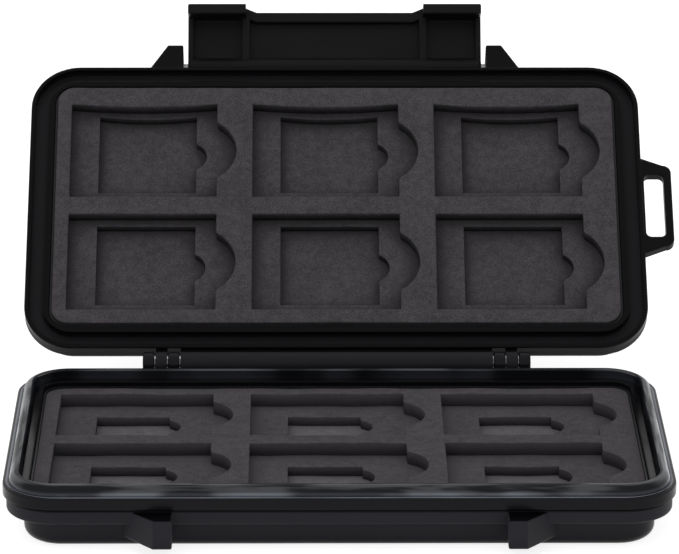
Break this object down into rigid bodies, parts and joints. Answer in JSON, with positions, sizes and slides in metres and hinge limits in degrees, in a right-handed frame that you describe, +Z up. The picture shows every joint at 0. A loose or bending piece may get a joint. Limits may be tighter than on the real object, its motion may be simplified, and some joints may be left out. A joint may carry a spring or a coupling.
{
  "type": "memory card case",
  "caption": "Hinged rectangular hard case, open, with foam inserts cut with nested card wells, a rim seal, a wide front latch and a lanyard loop.",
  "frame": {"origin": "centre of the base's flat underside", "axes": "+Z up, +Y towards the hinge, +X to the right seen from the latch side"},
  "size_m": [0.1424, 0.1551, 0.0745],
  "materials": {
    "shell_plastic": "satin moulded, near black",
    "latch_plastic": "satin moulded, near black",
    "seal_rubber": "glossy dark rubber",
    "tray_plastic": "thin moulded tray",
    "foam": "fine fibrous foam",
    "pin_steel": "plain steel pin"
  },
  "bodies": {
    "base": {"base_shell": "shell_plastic", "rim_seal": "seal_rubber", "base_liner_tray": "tray_plastic", "base_foam_back": "foam", "base_foam_middle": "foam", "base_foam_face": "foam", "hinge_pin_left": "pin_steel", "hinge_pin_right": "pin_steel"},
    "lid": {"lid_shell": "shell_plastic", "lid_liner_tray": "tray_plastic", "lid_foam_back": "foam", "lid_foam_middle": "foam", "lid_foam_face": "foam", "latch_pin_left": "pin_steel", "latch_pin_right": "pin_steel"},
    "latch": {"latch": "latch_plastic"}
  },
  "joints": [
    {"name": "lid_hinge", "type": "hinge", "parent": "base", "child": "lid", "pos_m": [0, 0.0404, 0.0124], "axis": [1, 0, 0], "range_deg": [0, 140.4]},
    {"name": "latch_hinge", "type": "hinge", "parent": "lid", "child": "latch", "pos_m": [0, 0.10524, 0.06007], "axis": [1, 0, 0], "range_deg": [-25, 70]}
  ]
}
